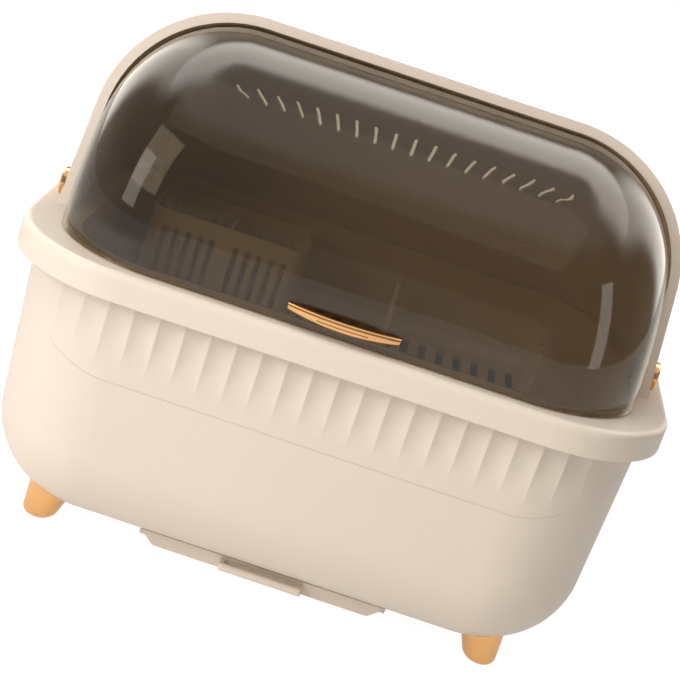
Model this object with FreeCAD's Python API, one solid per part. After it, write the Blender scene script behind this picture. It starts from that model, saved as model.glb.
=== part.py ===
import FreeCAD, Part
import math
import os

# Covered dish drying box: a fluted tub on splayed feet, a rim frame with a fixed rear hood,
# a smoked front lid that swings back inside the hood, a hanging dish basket with its inserts,
# and a drip tray that slides out from under the tub.
# Millimetres. X runs to the right, Y from front to back, Z up from the table.
# The origin is on the table, under the middle of the rim.
# Two lengths serve every cut and joint: cutters reach past what they open by "past",
# and pieces that are joined into one run into each other by "bite".

# Overall
rim_width = 455.0
rim_depth = 300.0
rim_corner = 80.0
rim_top = 210.0
running_gap = 0.3
bite = 1.0
past = 5.0
far = 1000.0
edge_tolerance = 0.01

# Rim frame
rim_fascia = 20.5
rim_wall = 2.6
rim_round = 5.0
rim_inner_round = 3.4
rim_foot_round = 1.2
opening_side_web = 35.5
opening_front_web = 18.0
opening_back_web = 24.0
opening_corner = 60.0
locating_rib = 2.0
locating_rib_drop = 8.0
locating_rib_gap = 0.5

# Tub
tub_inset = 9.8
tub_corner = 82.0
tub_draft = 2.6
tub_floor = 16.0
tub_round = 62.0
tub_wall = 3.2

# Fluted panel on the front and the back of the tub
panel_side_margin = 37.5
panel_drop = 78.0
panel_rise_width = 52.0
panel_corner = 85.0
panel_recess = 0.6
flute_pitch = 17.35
flute_side_margin = 4.0
flute_depth = 2.0
flute_land = 0.6
flute_run_out = 0.05
flute_fade = 24.0
flute_margin = 9.0
flute_reach = 8.0

# Drain in the tub floor
drain_bore = 24.0
outlet_stem_gap = 0.2
outlet_wall = 2.0
outlet_flange = 34.0
outlet_flange_thick = 2.0
outlet_drop = 4.0
seal_thick = 1.2
seal_margin = 0.5
outlet_nut_across = 36.0
outlet_nut_thick = 2.4
strainer_width = 60.0
strainer_thick = 1.6
strainer_rise = 6.0
strainer_hole = 4.0
strainer_rings = 4
strainer_ring_pitch = 7.5
strainer_gate_count = 4
strainer_gate_width = 12.0
strainer_gate_height = 3.0

# Feet
foot_side_inset = 64.3
foot_end_inset = 66.0
foot_top_radius = 19.4
foot_tip_radius = 11.4
foot_tip_round = 7.0
foot_splay = 10.6
foot_reach = 40.0
foot_pad_radius = 4.2
foot_pad_thick = 1.5
foot_pad_proud = 0.6
foot_pad_round = 0.4
foot_hole_floor = 7.5
foot_screw_radius = 1.8
foot_screw_head = 3.6
foot_screw_head_thick = 2.0
foot_screw_length = 17.0
foot_screw_clearance = 0.1

# Drip tray and its runners
tray_half_width = 90.0
tray_floor_half_width = 79.0
tray_trough_step = 3.0
tray_front_round = 4.0
tray_front_rise = 1.9
tray_front = 60.0
tray_length = 190.0
tray_height = 7.6
tray_drop = 0.7
tray_wall = 1.6
tray_flange = 8.0
tray_flange_thick = 2.0
tray_front_thick = 3.0
tray_notch_margin = 2.0
pull_half_width = 30.0
pull_reach = 10.0
pull_height = 5.6
pull_round = 2.0
pull_lip = 3.0
pull_hollow = 2.5
runner_thick = 2.4
runner_gap = 0.5
runner_ledge = 6.0
runner_setback = 20.0
runner_length = 150.0
runner_lug_reach = 10.0
runner_lug_width = 12.0
runner_screw_margin = 20.0
runner_screw_radius = 1.5
runner_screw_head = 3.0
runner_screw_head_thick = 1.8
runner_screw_bite = 0.4

# Hood
hood_side_margin = 14.5
hood_height = 161.2
hood_corner = 97.8
hood_lean = 4.3
hood_roof_slope = 14.0
hood_back_margin = 9.0
hood_back_draft = 2.0
hood_back_round = 80.0
hood_wall = 2.8
hoop_setback = 102.7
hoop_lean = 10.0
hoop_bead = 7.0
hoop_bead_length = 6.0
tongue_width = 14.0
side_tongue_length = 9.0
tongue_thick = 2.0
tongue_gap = 0.15
tongue_side_inset = 2.6
side_tongue_setbacks = (150.0, 195.0)
back_tongue_pitch = 90.0
back_tongue_each_side = 1

# Ventilation slots across the back of the hood
vent_count = 18
vent_pitch = 15.3
vent_width = 2.6
vent_length = 15.0
vent_reach = 8.0
vent_angle = 75.5
vent_fan = 50.0

# Pivots
pivot_setback = 114.7
pivot_rise = 13.3
pin_radius = 3.0
pin_running_gap = 0.08
cap_radius = 10.0
cap_proud = 4.0
cap_round = 1.2
cap_dish_radius = 6.4
cap_dish_depth = 1.2
cap_button_radius = 3.4
cap_button_sink = 0.3
cap_seat = 4.0
boss_radius = 11.0
boss_inset = 8.3
ear_inset = 9.6
ear_thick = 3.6
ear_radius = 8.6
ear_reach = 14.0
washer_radius = 7.0
clip_radius = 6.0
clip_thick = 1.6
clip_slit = 2.0

# Lid
lid_wall = 2.5
lid_front_setback = 9.5
lid_depth = 124.0
lid_height = 153.0
lid_roundness = 2.3
lid_inset_front = 12.0
lid_inset_back = 8.2
lid_corner_front = 75.0
lid_corner_back = 89.0
lid_tuck = 3.5
lid_lift = 1.0
lid_bead = 4.0
lid_bead_height = 4.5
lid_fan_axis_setback = 125.0
lid_fan_axis_drop = 30.0
lid_fan_core = 8.0
lid_fan_from = -8.0
lid_fan_to = 100.0
lid_fan_steps = 9

# Handle
handle_half_width = 38.0
handle_reach = 9.5
handle_end_thick = 3.0
handle_bar = 4.2
handle_gap_half_width = 27.0
handle_rise = 8.2
handle_height = 7.0
handle_end_height = 4.8
handle_round = 2.2
handle_groove_half_width = 17.0
handle_groove = 1.6
handle_groove_depth = 0.9
handle_screw_pitch = 63.0
handle_screw_radius = 1.4
handle_screw_head = 2.8
handle_screw_head_thick = 1.6
handle_screw_bite = 3.4

# Soft pads
pad_width = 3.0
pad_length = 6.0
pad_thick = 2.2
pad_pitch = 83.0
bumper_radius = 2.2
bumper_gap = 0.3
bumper_setback = 72.0
bumper_inset = 2.4

# Dish basket
basket_lap = 3.0
basket_flange_thick = 1.8
basket_round = 14.0
basket_wall = 2.2
basket_depth = 62.0
basket_clear = 2.0
basket_draft = 4.0
basket_slot_width = 6.0
basket_slot_pitch = 14.0
basket_slot_rows = 4
basket_slot_margin = 16.0
basket_corner_margin = 30.0

# Racks standing on the basket's floor
rack_wall_gap = 12.5

# Plate rack
plate_rack_left = 6.0
plate_rack_side_gap = 17.5
plate_rack_share = 0.41
plate_rack_bar = 5.0
plate_rail_width = 10.0
plate_peg_radius = 2.2
plate_peg_height = 46.0
plate_peg_count = 6
plate_rows = (0.15, 0.85)

# Bowl rack
bowl_rack_side_gap = 18.5
bowl_rack_share = 0.37
bowl_rack_bar = 5.0
bowl_bar_margin = 6.0
bowl_rib_height = 10.0
bowl_rib_thick = 3.0
bowl_rib_round = 6.0
bowl_rib_pitch = 22.0

# Cutlery cage
cage_side_gap = 23.5
cage_width = 118.0
cage_back_gap = 19.5
cage_share = 0.285
cage_height = 58.0
cage_wall = 2.0
cage_corner = 10.0
cage_slot = 4.0
cage_slot_low = 10.0
cage_slot_high = 12.0
cage_divider_drop = 6.0
cage_slot_pitch = 9.0

# Places that follow from the sizes above
front = -rim_depth / 2
back = rim_depth / 2
tub_top = rim_top - rim_wall - running_gap
pivot_y = front + pivot_setback
pivot_z = rim_top + pivot_rise
hoop_tan = math.tan(math.radians(hoop_lean))
draft_tan = math.tan(math.radians(tub_draft))
lean_tan = math.tan(math.radians(hood_lean))
opening_width = rim_width - 2 * opening_side_web
opening_depth = rim_depth - opening_front_web - opening_back_web
opening_mid = (opening_front_web - opening_back_web) / 2
tub_skin = tub_wall + panel_recess
inner_floor = tub_floor + tub_skin
outlet_radius = drain_bore / 2 - outlet_stem_gap
tray_top = tub_floor - tray_drop
tray_y = front + tray_front
lid_face = front + lid_front_setback
handle_low = rim_top + handle_rise
handle_mid_z = handle_low + handle_height / 2
handle_screw_places = (-handle_screw_pitch / 2, handle_screw_pitch / 2)
hood_crown_y = front + hoop_setback + hoop_tan * hood_height
hood_back = back - hood_back_margin
basket_floor = rim_top - basket_depth
insert_floor = basket_floor + basket_wall
panel_half_width = rim_width / 2 - panel_side_margin
panel_level_half = panel_half_width - panel_rise_width
flute_each_side = int((panel_half_width - flute_side_margin - flute_pitch / 2) // flute_pitch)
hood_half_width = rim_width / 2 - hood_side_margin
boss_face = hood_half_width - boss_inset
ear_face = hood_half_width - ear_inset
lid_half_width_front = hood_half_width - lid_inset_front
lid_half_width_back = hood_half_width - lid_inset_back
basket_shrink = basket_clear + basket_wall + math.tan(math.radians(basket_draft)) * basket_depth
room_half_width = opening_width / 2 - basket_shrink
room_front = opening_mid - opening_depth / 2 + basket_shrink
room_back = opening_mid + opening_depth / 2 - basket_shrink
room_depth = room_back - room_front


def vec(x, y, z):
    return FreeCAD.Vector(x, y, z)


def box(x0, x1, y0, y1, z0, z1):
    return Part.makeBox(x1 - x0, y1 - y0, z1 - z0, vec(x0, y0, z0))


def upright(radius, height, x, y, z):
    return Part.makeCylinder(radius, height, vec(x, y, z))


def cross_pin(radius, x0, x1, y, z):
    # A round bar along X from x0 to x1.
    start = min(x0, x1)
    return Part.makeCylinder(radius, abs(x1 - x0), vec(start, y, z), vec(1, 0, 0))


def fuse_all(solids):
    joined = solids[0].multiFuse(solids[1:]) if len(solids) > 1 else solids[0]
    return joined.removeSplitter()


def mirrored(shape):
    return shape.mirror(vec(0, 0, 0), vec(1, 0, 0))


def rounded_rectangle(width, depth, radius, z, y_mid=0.0):
    # Closed outline of four straights and four arcs in a level plane.
    hx = width / 2
    hy = depth / 2
    corners = [(1, 1), (-1, 1), (-1, -1), (1, -1)]
    edges = []
    arcs = []
    for sx, sy in corners:
        cx = sx * (hx - radius)
        cy = y_mid + sy * (hy - radius)
        middle = math.atan2(sy, sx)
        points = []
        for turn in (-math.pi / 4, 0, math.pi / 4):
            points.append(vec(cx + radius * math.cos(middle + turn),
                              cy + radius * math.sin(middle + turn), z))
        arcs.append(points)
    for index, points in enumerate(arcs):
        edges.append(Part.Arc(*points).toShape())
        following = arcs[(index + 1) % 4]
        edges.append(Part.LineSegment(points[2], following[0]).toShape())
    return Part.Wire(edges)


def rounded_slab(width, depth, radius, z0, z1, y_mid=0.0):
    face = Part.Face(rounded_rectangle(width, depth, radius, z0, y_mid))
    return face.extrude(vec(0, 0, z1 - z0))


def edges_on(shape, y=None, z=None):
    # Edges that lie wholly in the plane at this Y, at this Z, or in both.
    found = []
    for edge in shape.Edges:
        bounds = edge.BoundBox
        off_y = 0 if y is None else max(abs(bounds.YMin - y), abs(bounds.YMax - y))
        off_z = 0 if z is None else max(abs(bounds.ZMin - z), abs(bounds.ZMax - z))
        if max(off_y, off_z) < edge_tolerance:
            found.append(edge)
    return found


def drafted_form(width, depth, radius, z0, z1, taper, bottom_round, y_mid=0.0):
    # A block that narrows downwards, with its bottom edge rounded. Sizes are those at z1.
    shrink = taper * (z1 - z0)
    low = rounded_rectangle(width - 2 * shrink, depth - 2 * shrink, radius - shrink, z0, y_mid)
    high = rounded_rectangle(width, depth, radius, z1, y_mid)
    block = Part.makeLoft([low, high], True, True)
    if bottom_round > 0:
        block = block.makeFillet(bottom_round, edges_on(block, z=z0))
    return block


# Tub

def tub_form(inset, top):
    # The tub's outer form, moved inwards by inset, from its floor up to the given height.
    rise = top - tub_top
    width = rim_width - 2 * tub_inset - 2 * inset + 2 * draft_tan * rise
    depth = rim_depth - 2 * tub_inset - 2 * inset + 2 * draft_tan * rise
    radius = tub_corner - inset + draft_tan * rise
    return drafted_form(width, depth, radius, tub_floor + inset, top, draft_tan,
                        tub_round - inset)


def panel_edge(x):
    # Height of the panel's lower edge at this X: level, then rising round its corners.
    overrun = abs(x) - panel_level_half
    low = rim_top - panel_drop
    if overrun <= 0:
        return low
    return low + panel_corner - math.sqrt(panel_corner ** 2 - overrun ** 2)


def panel_region():
    # A slab seen from the front as the panel's outline, through the whole tub.
    low = rim_top - panel_drop
    high = rim_top + bite
    hw = panel_level_half + panel_corner
    r = panel_corner
    diagonal = r * (1 - math.sqrt(0.5))
    edges = [
        Part.LineSegment(vec(-hw, 0, high), vec(-hw, 0, low + r)).toShape(),
        Part.Arc(vec(-hw, 0, low + r), vec(-hw + diagonal, 0, low + diagonal),
                 vec(-hw + r, 0, low)).toShape(),
        Part.LineSegment(vec(-hw + r, 0, low), vec(hw - r, 0, low)).toShape(),
        Part.Arc(vec(hw - r, 0, low), vec(hw - diagonal, 0, low + diagonal),
                 vec(hw, 0, low + r)).toShape(),
        Part.LineSegment(vec(hw, 0, low + r), vec(hw, 0, high)).toShape(),
        Part.LineSegment(vec(hw, 0, high), vec(-hw, 0, high)).toShape(),
    ]
    slab = Part.Face(Part.Wire(edges)).extrude(vec(0, far, 0))
    slab.translate(vec(0, -far / 2, 0))
    return slab


def panel_spread():
    # How much wider than the tub the panel's floor is, so that its recess dies away on the
    # round corner at the panel's half width.
    corner_start = rim_width / 2 - tub_inset - tub_corner
    turn = math.asin((panel_half_width - corner_start) / tub_corner)
    return panel_recess / math.tan(turn)


def panel_floor(top):
    # The tub's outer form with its front and back set in and its sides set out.
    rise = top - tub_top
    width = rim_width - 2 * tub_inset + 2 * panel_spread() + 2 * draft_tan * rise
    depth = rim_depth - 2 * tub_inset - 2 * panel_recess + 2 * draft_tan * rise
    radius = tub_corner + draft_tan * rise
    return drafted_form(width, depth, radius, tub_floor + panel_recess, top, draft_tan,
                        tub_round - panel_recess)


def wall_point(x, z):
    # The point on the panel's floor at this X and height, and the outward direction there.
    drop = tub_top - z
    hx = rim_width / 2 - tub_inset + panel_spread() - draft_tan * drop
    hy = rim_depth / 2 - tub_inset - panel_recess - draft_tan * drop
    radius = tub_corner - draft_tan * drop
    overrun = abs(x) - (hx - radius)
    if overrun <= 0:
        return vec(x, -hy, z), vec(0, -1, 0)
    turn = math.asin(min(overrun / radius, 1.0))
    outward = vec(math.copysign(math.sin(turn), x), -math.cos(turn), 0)
    centre = vec(math.copysign(hx - radius, x), -(hy - radius), z)
    return centre + outward * radius, outward


def flute_outline(x_mid, z, depth):
    # Across one flute: a hollow arc in the wall, closed well outside it.
    half = (flute_pitch - flute_land) / 2
    left, left_out = wall_point(x_mid - half, z)
    right, right_out = wall_point(x_mid + half, z)
    middle, outward = wall_point(x_mid, z)
    bottom = middle - outward * depth
    left_far = left + left_out * flute_reach
    right_far = right + right_out * flute_reach
    edges = [
        Part.Arc(left, bottom, right).toShape(),
        Part.LineSegment(right, right_far).toShape(),
        Part.LineSegment(right_far, left_far).toShape(),
        Part.LineSegment(left_far, left).toShape(),
    ]
    return Part.Wire(edges)


def flute_cutters():
    # Each flute keeps its depth down to where it starts to fade, and fades out above the
    # panel's lower edge.
    cutters = []
    for index in range(-flute_each_side, flute_each_side + 1):
        x_mid = index * flute_pitch
        end = panel_edge(abs(x_mid) + flute_pitch / 2) + flute_margin
        sections = [
            flute_outline(x_mid, end, flute_run_out),
            flute_outline(x_mid, end + flute_fade, flute_depth),
            flute_outline(x_mid, tub_top + bite, flute_depth),
        ]
        cutters.append(Part.makeLoft(sections, True, True))
    return cutters


def make_tub():
    outer = tub_form(0, tub_top)
    skin = tub_form(0, tub_top + bite).cut(panel_floor(tub_top + bite))
    panels = skin.common(panel_region())
    body = outer.cut(panels)
    cutters = flute_cutters()
    turned = []
    for cutter in cutters:
        other = cutter.copy()
        other.rotate(vec(0, 0, 0), vec(0, 0, 1), 180)
        turned.append(other)
    body = body.cut(cutters + turned)
    body = body.cut(tub_form(tub_skin, tub_top + past))
    body = body.cut(upright(drain_bore / 2, tub_skin + 2 * past, 0, 0, tub_floor - past))
    for x, y in foot_places():
        body = body.cut(upright(foot_screw_radius + foot_screw_clearance, tub_round, x, y, 0))
    return body


# Drain

def make_drain_outlet():
    top = inner_floor + seal_thick + outlet_flange_thick
    low = tub_floor - outlet_drop
    flange = upright(outlet_flange / 2, outlet_flange_thick, 0, 0, top - outlet_flange_thick)
    stem = upright(outlet_radius, top - low, 0, 0, low)
    bore = upright(outlet_radius - outlet_wall, top - low + 2 * past, 0, 0, low - past)
    return fuse_all([flange, stem]).cut(bore)


def make_outlet_seal():
    ring = upright(outlet_flange / 2 - seal_margin, seal_thick, 0, 0, inner_floor)
    return ring.cut(upright(drain_bore / 2, seal_thick + 2 * past, 0, 0, inner_floor - past))


def make_outlet_nut():
    low = tub_floor - outlet_nut_thick
    reach = outlet_nut_across / 2 / math.cos(math.pi / 6)
    corners = []
    for step in range(7):
        turn = step * math.pi / 3
        corners.append(vec(reach * math.cos(turn), reach * math.sin(turn), low))
    nut = Part.Face(Part.makePolygon(corners)).extrude(vec(0, 0, outlet_nut_thick))
    return nut.cut(upright(outlet_radius, outlet_nut_thick + 2 * past, 0, 0, low - past))


def make_sump_strainer():
    # An upturned sieve over the drain: rings of holes on top, gates round its foot.
    plate_low = inner_floor + strainer_rise
    outer = strainer_width / 2
    plate = upright(outer, strainer_thick, 0, 0, plate_low)
    skirt = upright(outer, strainer_rise, 0, 0, inner_floor)
    skirt = skirt.cut(upright(outer - strainer_thick, far, 0, 0, 0))
    body = fuse_all([plate, skirt])
    cutters = [upright(strainer_hole / 2, far, 0, 0, 0)]
    for ring in range(1, strainer_rings):
        count = 6 * ring
        for step in range(count):
            turn = 2 * math.pi * step / count
            cutters.append(upright(strainer_hole / 2, far,
                                   ring * strainer_ring_pitch * math.cos(turn),
                                   ring * strainer_ring_pitch * math.sin(turn), 0))
    for step in range(strainer_gate_count):
        gate = box(-strainer_gate_width / 2, strainer_gate_width / 2, 0, outer + past,
                   inner_floor - past, inner_floor + strainer_gate_height)
        gate.rotate(vec(0, 0, 0), vec(0, 0, 1), 360 / strainer_gate_count * (step + 0.5))
        cutters.append(gate)
    return body.cut(cutters)


# Feet

def foot_places():
    x = rim_width / 2 - foot_side_inset
    y = rim_depth / 2 - foot_end_inset
    return [(-x, -y), (x, -y), (-x, y), (x, y)]


def make_foot(x, y):
    # A round tapered peg that leans outwards and is cut to the curve of the tub.
    outward = vec(math.copysign(1, x), math.copysign(1, y), 0).normalize()
    peg = Part.makeCone(foot_tip_radius, foot_top_radius, foot_reach, vec(0, 0, 0))
    peg = peg.makeFillet(foot_tip_round, edges_on(peg, z=0))
    shear = FreeCAD.Matrix()
    shear.A13 = -outward.x * foot_splay / foot_reach
    shear.A23 = -outward.y * foot_splay / foot_reach
    peg = peg.transformGeometry(shear)
    peg.translate(vec(x, y, foot_pad_proud))
    peg = peg.cut(tub_form(0, tub_top))
    socket = upright(foot_pad_radius, foot_pad_thick, x, y, 0)
    hole = upright(foot_screw_radius, foot_reach, x, y, foot_hole_floor)
    return peg.cut([socket, hole])


def make_foot_pads():
    pads = []
    for x, y in foot_places():
        pad = upright(foot_pad_radius, foot_pad_thick, x, y, 0)
        pads.append(pad.makeFillet(foot_pad_round, edges_on(pad, z=0)))
    return Part.makeCompound(pads)


def make_foot_screws():
    # Driven down through the tub floor into the feet: one screw with its head shaped to the
    # floor's round, and its mirror images.
    x, y = foot_places()[-1]
    probe = upright(foot_screw_head, rim_top, x, y, 0).common(tub_form(tub_skin, tub_top))
    seat = min(point.z for point in probe.tessellate(edge_tolerance)[0])
    head = probe.common(box(-far, far, -far, far, 0, seat + 2 * foot_screw_head_thick))
    shank = upright(foot_screw_radius, foot_screw_length, x, y,
                    seat + foot_screw_head_thick - foot_screw_length)
    pair = [fuse_all([head, shank])]
    pair.append(mirrored(pair[0]))
    turned = []
    for screw in pair:
        other = screw.copy()
        other.rotate(vec(0, 0, 0), vec(0, 0, 1), 180)
        turned.append(other)
    return Part.makeCompound(pair + turned)


# Drip tray and runners

def trapezoid(half_high, half_low, y, low, high):
    # An upright face across the box, wider at its top.
    points = [
        vec(-half_high, y, high),
        vec(-half_low, y, low),
        vec(half_low, y, low),
        vec(half_high, y, high),
        vec(-half_high, y, high),
    ]
    return Part.Face(Part.makePolygon(points))


def make_drip_tray():
    high = tray_top
    low = high - tray_height
    y1 = tray_y + tray_length
    half_high = tray_half_width - tray_flange
    half_low = tray_floor_half_width - tray_trough_step
    outer = trapezoid(half_high, half_low, tray_y, low, high).extrude(vec(0, tray_length, 0))
    hollow = trapezoid(half_high - tray_wall, half_low - tray_wall, tray_y + tray_front_thick,
                       low + tray_wall, high + bite)
    hollow = hollow.extrude(vec(0, tray_length - tray_front_thick - tray_wall, 0))
    flanges = box(-tray_half_width, tray_half_width, tray_y + bite, y1,
                  high - tray_flange_thick, high)
    plate = trapezoid(tray_half_width, tray_floor_half_width, tray_y, low,
                      high + tray_front_rise)
    plate = plate.extrude(vec(0, tray_front_thick, 0))
    low_corners = [edge for edge in edges_on(plate)
                   if abs(abs(edge.BoundBox.XMin) - tray_floor_half_width) < edge_tolerance
                   and abs(edge.BoundBox.ZMax - low) < edge_tolerance
                   and edge.BoundBox.XLength < edge_tolerance]
    plate = plate.makeFillet(tray_front_round, low_corners)
    pull = box(-pull_half_width, pull_half_width, tray_y - pull_reach, tray_y + bite,
               high - pull_height, high)
    pull = pull.makeFillet(pull_round, edges_on(pull, y=tray_y - pull_reach))
    finger = box(-pull_half_width + pull_lip, pull_half_width - pull_lip,
                 tray_y - pull_reach + pull_lip, tray_y - pull_lip / 2,
                 high - pull_hollow, high + past)
    # A notch in the back wall lets the drawn tray pass under the drain.
    notch_half = outlet_nut_across / 2 / math.cos(math.pi / 6) + tray_notch_margin
    notch = box(-notch_half, notch_half, y1 - tray_wall - bite, y1 + past,
                tub_floor - outlet_drop - running_gap, high + past)
    body = fuse_all([outer, flanges, plate, pull])
    return body.cut([hollow, finger, notch])


def make_tray_runner():
    # The right-hand runner: an angle under the tub floor that carries the tray's flange.
    web_in = tray_half_width + runner_gap
    web_out = web_in + runner_thick
    y0 = tray_y + runner_setback
    y1 = y0 + runner_length
    ledge_high = tray_top - tray_flange_thick - running_gap
    ledge_low = ledge_high - runner_thick
    web = box(web_in, web_out, y0, y1, ledge_low, tub_floor)
    ledge = box(web_in - runner_ledge, web_in + bite, y0, y1, ledge_low, ledge_high)
    lugs = []
    for y in runner_screw_rows():
        lug = box(web_in + bite, web_out + runner_lug_reach, y - runner_lug_width / 2,
                  y + runner_lug_width / 2, tub_floor - runner_thick, tub_floor)
        lug = lug.cut(upright(runner_screw_radius, far, runner_screw_x(), y, -far / 2))
        lugs.append(lug)
    return fuse_all([web, ledge] + lugs)


def runner_screw_rows():
    y0 = tray_y + runner_setback
    return [y0 + runner_screw_margin, y0 + runner_length - runner_screw_margin]


def runner_screw_x():
    return tray_half_width + runner_gap + runner_thick + runner_lug_reach / 2


def make_runner_screws():
    screws = []
    low = tub_floor - runner_thick
    for side in (-1, 1):
        x = side * runner_screw_x()
        for y in runner_screw_rows():
            head = upright(runner_screw_head, runner_screw_head_thick, x, y,
                           low - runner_screw_head_thick)
            shank = upright(runner_screw_radius, runner_thick + runner_screw_bite, x, y,
                            low - runner_screw_bite)
            screws.append(fuse_all([head, shank]))
    return Part.makeCompound(screws)


# Rim frame

def opening_slab(grow, z0, z1):
    return rounded_slab(opening_width + 2 * grow, opening_depth + 2 * grow,
                        opening_corner + grow, z0, z1, opening_mid)


def make_rim_frame():
    low = rim_top - rim_fascia
    ceiling = rim_top - rim_wall
    cap = rounded_slab(rim_width, rim_depth, rim_corner, low, rim_top)
    cap = cap.makeFillet(rim_round, edges_on(cap, z=rim_top))
    cap = cap.makeFillet(rim_foot_round, edges_on(cap, z=low))
    hollow = rounded_slab(rim_width - 2 * rim_wall, rim_depth - 2 * rim_wall,
                          rim_corner - rim_wall, low - past, ceiling)
    hollow = hollow.makeFillet(rim_inner_round, edges_on(hollow, z=ceiling))
    body = cap.cut(hollow)
    rib_out = tub_inset + tub_skin + locating_rib_gap + draft_tan * locating_rib_drop
    rib_in = rib_out + locating_rib
    rib_corner = tub_corner - (rib_out - tub_inset)
    rib_low = ceiling - locating_rib_drop
    rib = rounded_slab(rim_width - 2 * rib_out, rim_depth - 2 * rib_out, rib_corner,
                       rib_low, ceiling + bite)
    rib = rib.cut(rounded_slab(rim_width - 2 * rib_in, rim_depth - 2 * rib_in,
                               rib_corner - locating_rib, rib_low - past, rim_top))
    body = fuse_all([body, rib])
    body = body.cut(opening_slab(0, low - past, rim_top + past))
    seats = []
    for x in bumper_places():
        seats.append(upright(bumper_radius, rim_wall + 2 * past, x, front + bumper_setback,
                             ceiling - past))
    return body.cut(hood_tongues(tongue_gap, past) + seats)


# Hood

def arch_outline(half_width, height, lean, radius, base, y):
    # An arch in an upright plane: leaning sides, rounded shoulders and a level top.
    tan_lean = math.tan(math.radians(lean))
    cos_lean = math.cos(math.radians(lean))
    centre_z = height - radius
    centre_x = half_width - tan_lean * centre_z - radius / cos_lean
    low_x = half_width - tan_lean * base
    touch = math.radians(lean)
    tx = centre_x + radius * math.cos(touch)
    tz = centre_z + radius * math.sin(touch)
    mid = (touch + math.pi / 2) / 2
    mx = centre_x + radius * math.cos(mid)
    mz = centre_z + radius * math.sin(mid)

    def at(x, z):
        return vec(x, y, rim_top + z)

    edges = [
        Part.LineSegment(at(low_x, base), at(tx, tz)).toShape(),
        Part.Arc(at(tx, tz), at(mx, mz), at(centre_x, height)).toShape(),
        Part.LineSegment(at(centre_x, height), at(-centre_x, height)).toShape(),
        Part.Arc(at(-centre_x, height), at(-mx, mz), at(-tx, tz)).toShape(),
        Part.LineSegment(at(-tx, tz), at(-low_x, base)).toShape(),
        Part.LineSegment(at(-low_x, base), at(low_x, base)).toShape(),
    ]
    return Part.Wire(edges)


def hoop_y(z_above_rim, shift=0.0):
    # The hood's front edge lies in a plane that leans back; this is its Y at a height.
    return front + hoop_setback + shift + hoop_tan * z_above_rim


def behind_hoop(shift):
    # Everything behind the leaning plane of the hood's front edge.
    points = [
        vec(-far / 2, hoop_y(-far, shift), rim_top - far),
        vec(-far / 2, hoop_y(far, shift), rim_top + far),
        vec(-far / 2, far, rim_top + far),
        vec(-far / 2, far, rim_top - far),
        vec(-far / 2, hoop_y(-far, shift), rim_top - far),
    ]
    return Part.Face(Part.makePolygon(points)).extrude(vec(far, 0, 0))


def hood_form(inset, rounded=True):
    # The hood's outer form moved inwards by inset, before its front and foot are cut. An arch
    # is drawn backwards and down along the roof's slope, then cut off by the leaning back.
    slope_tan = math.tan(math.radians(hood_roof_slope))
    back_tan = math.tan(math.radians(hood_back_draft))
    start = front
    run = rim_depth + past
    arch = arch_outline(hood_half_width - inset, hood_height - inset, hood_lean,
                        hood_corner - inset, -rim_top, hood_crown_y)
    arch.translate(vec(0, start - hood_crown_y, (hood_crown_y - start) * slope_tan))
    tunnel = Part.Face(arch).extrude(vec(0, run, -run * slope_tan))
    wall_y = hood_back - inset
    points = [
        vec(-far / 2, start - past, rim_top - far),
        vec(-far / 2, start - past, rim_top + far),
        vec(-far / 2, wall_y - back_tan * far, rim_top + far),
        vec(-far / 2, wall_y + back_tan * far, rim_top - far),
        vec(-far / 2, start - past, rim_top - far),
    ]
    tunnel = tunnel.common(Part.Face(Part.makePolygon(points)).extrude(vec(far, 0, 0)))
    if not rounded:
        return tunnel
    chosen = []
    for edge in tunnel.Edges:
        ends = [vertex.Point for vertex in edge.Vertexes]
        on_back = all(abs(p.y - wall_y + back_tan * (p.z - rim_top)) < 0.1 for p in ends)
        if on_back and edge.CenterOfMass.z > rim_top / 2:
            chosen.append(edge)
    return tunnel.makeFillet(hood_back_round - inset, chosen)


def hood_tongues(grow, deeper=0):
    # Tongues under the hood's foot: the side ones snap through the rim frame, the back ones
    # only reach through its top and end above the tub's wall.
    thick = tongue_thick / 2 + grow
    half = tongue_width / 2 + grow
    z0 = rim_top - side_tongue_length - deeper
    z1 = rim_top + bite
    tongues = []
    for setback in side_tongue_setbacks:
        y = front + setback
        for side in (-1, 1):
            x = side * (hood_half_width - tongue_side_inset)
            tongues.append(box(x - thick, x + thick, y - half, y + half, z0, z1))
    y = hood_back - hood_wall / 2
    z0 = rim_top - rim_wall - deeper
    for step in range(-back_tongue_each_side, back_tongue_each_side + 1):
        x = step * back_tongue_pitch
        tongues.append(box(x - half, x + half, y - thick, y + thick, z0, z1))
    return tongues


def vent_cutters():
    # Slots across the round of the hood's back, splayed like a fan.
    slope = math.radians(hood_roof_slope)
    turn = math.radians(vent_angle)
    centre_y = hood_back - hood_back_round
    roof_at_centre = hood_height - math.tan(slope) * (centre_y - hood_crown_y)
    centre_z = rim_top + roof_at_centre - hood_back_round / math.cos(slope)
    outward = vec(0, math.sin(turn), math.cos(turn))
    seat = vec(0, centre_y, centre_z) + outward * hood_back_round
    half_row = vent_pitch * (vent_count - 1) / 2
    half_width = vent_width / 2
    half_straight = vent_length / 2 - half_width
    cutters = []
    for index in range(vent_count):
        x = -half_row + index * vent_pitch
        pieces = [box(-half_width, half_width, -vent_reach, vent_reach,
                      -half_straight, half_straight)]
        for z in (-half_straight, half_straight):
            pieces.append(Part.makeCylinder(half_width, 2 * vent_reach,
                                            vec(0, -vent_reach, z), vec(0, 1, 0)))
        slot = fuse_all(pieces)
        slot.rotate(vec(0, 0, 0), vec(0, 1, 0), vent_fan * x / half_row)
        slot.rotate(vec(0, 0, 0), vec(1, 0, 0), 90 - vent_angle)
        slot.translate(vec(x, seat.y, seat.z))
        cutters.append(slot)
    return cutters


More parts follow.
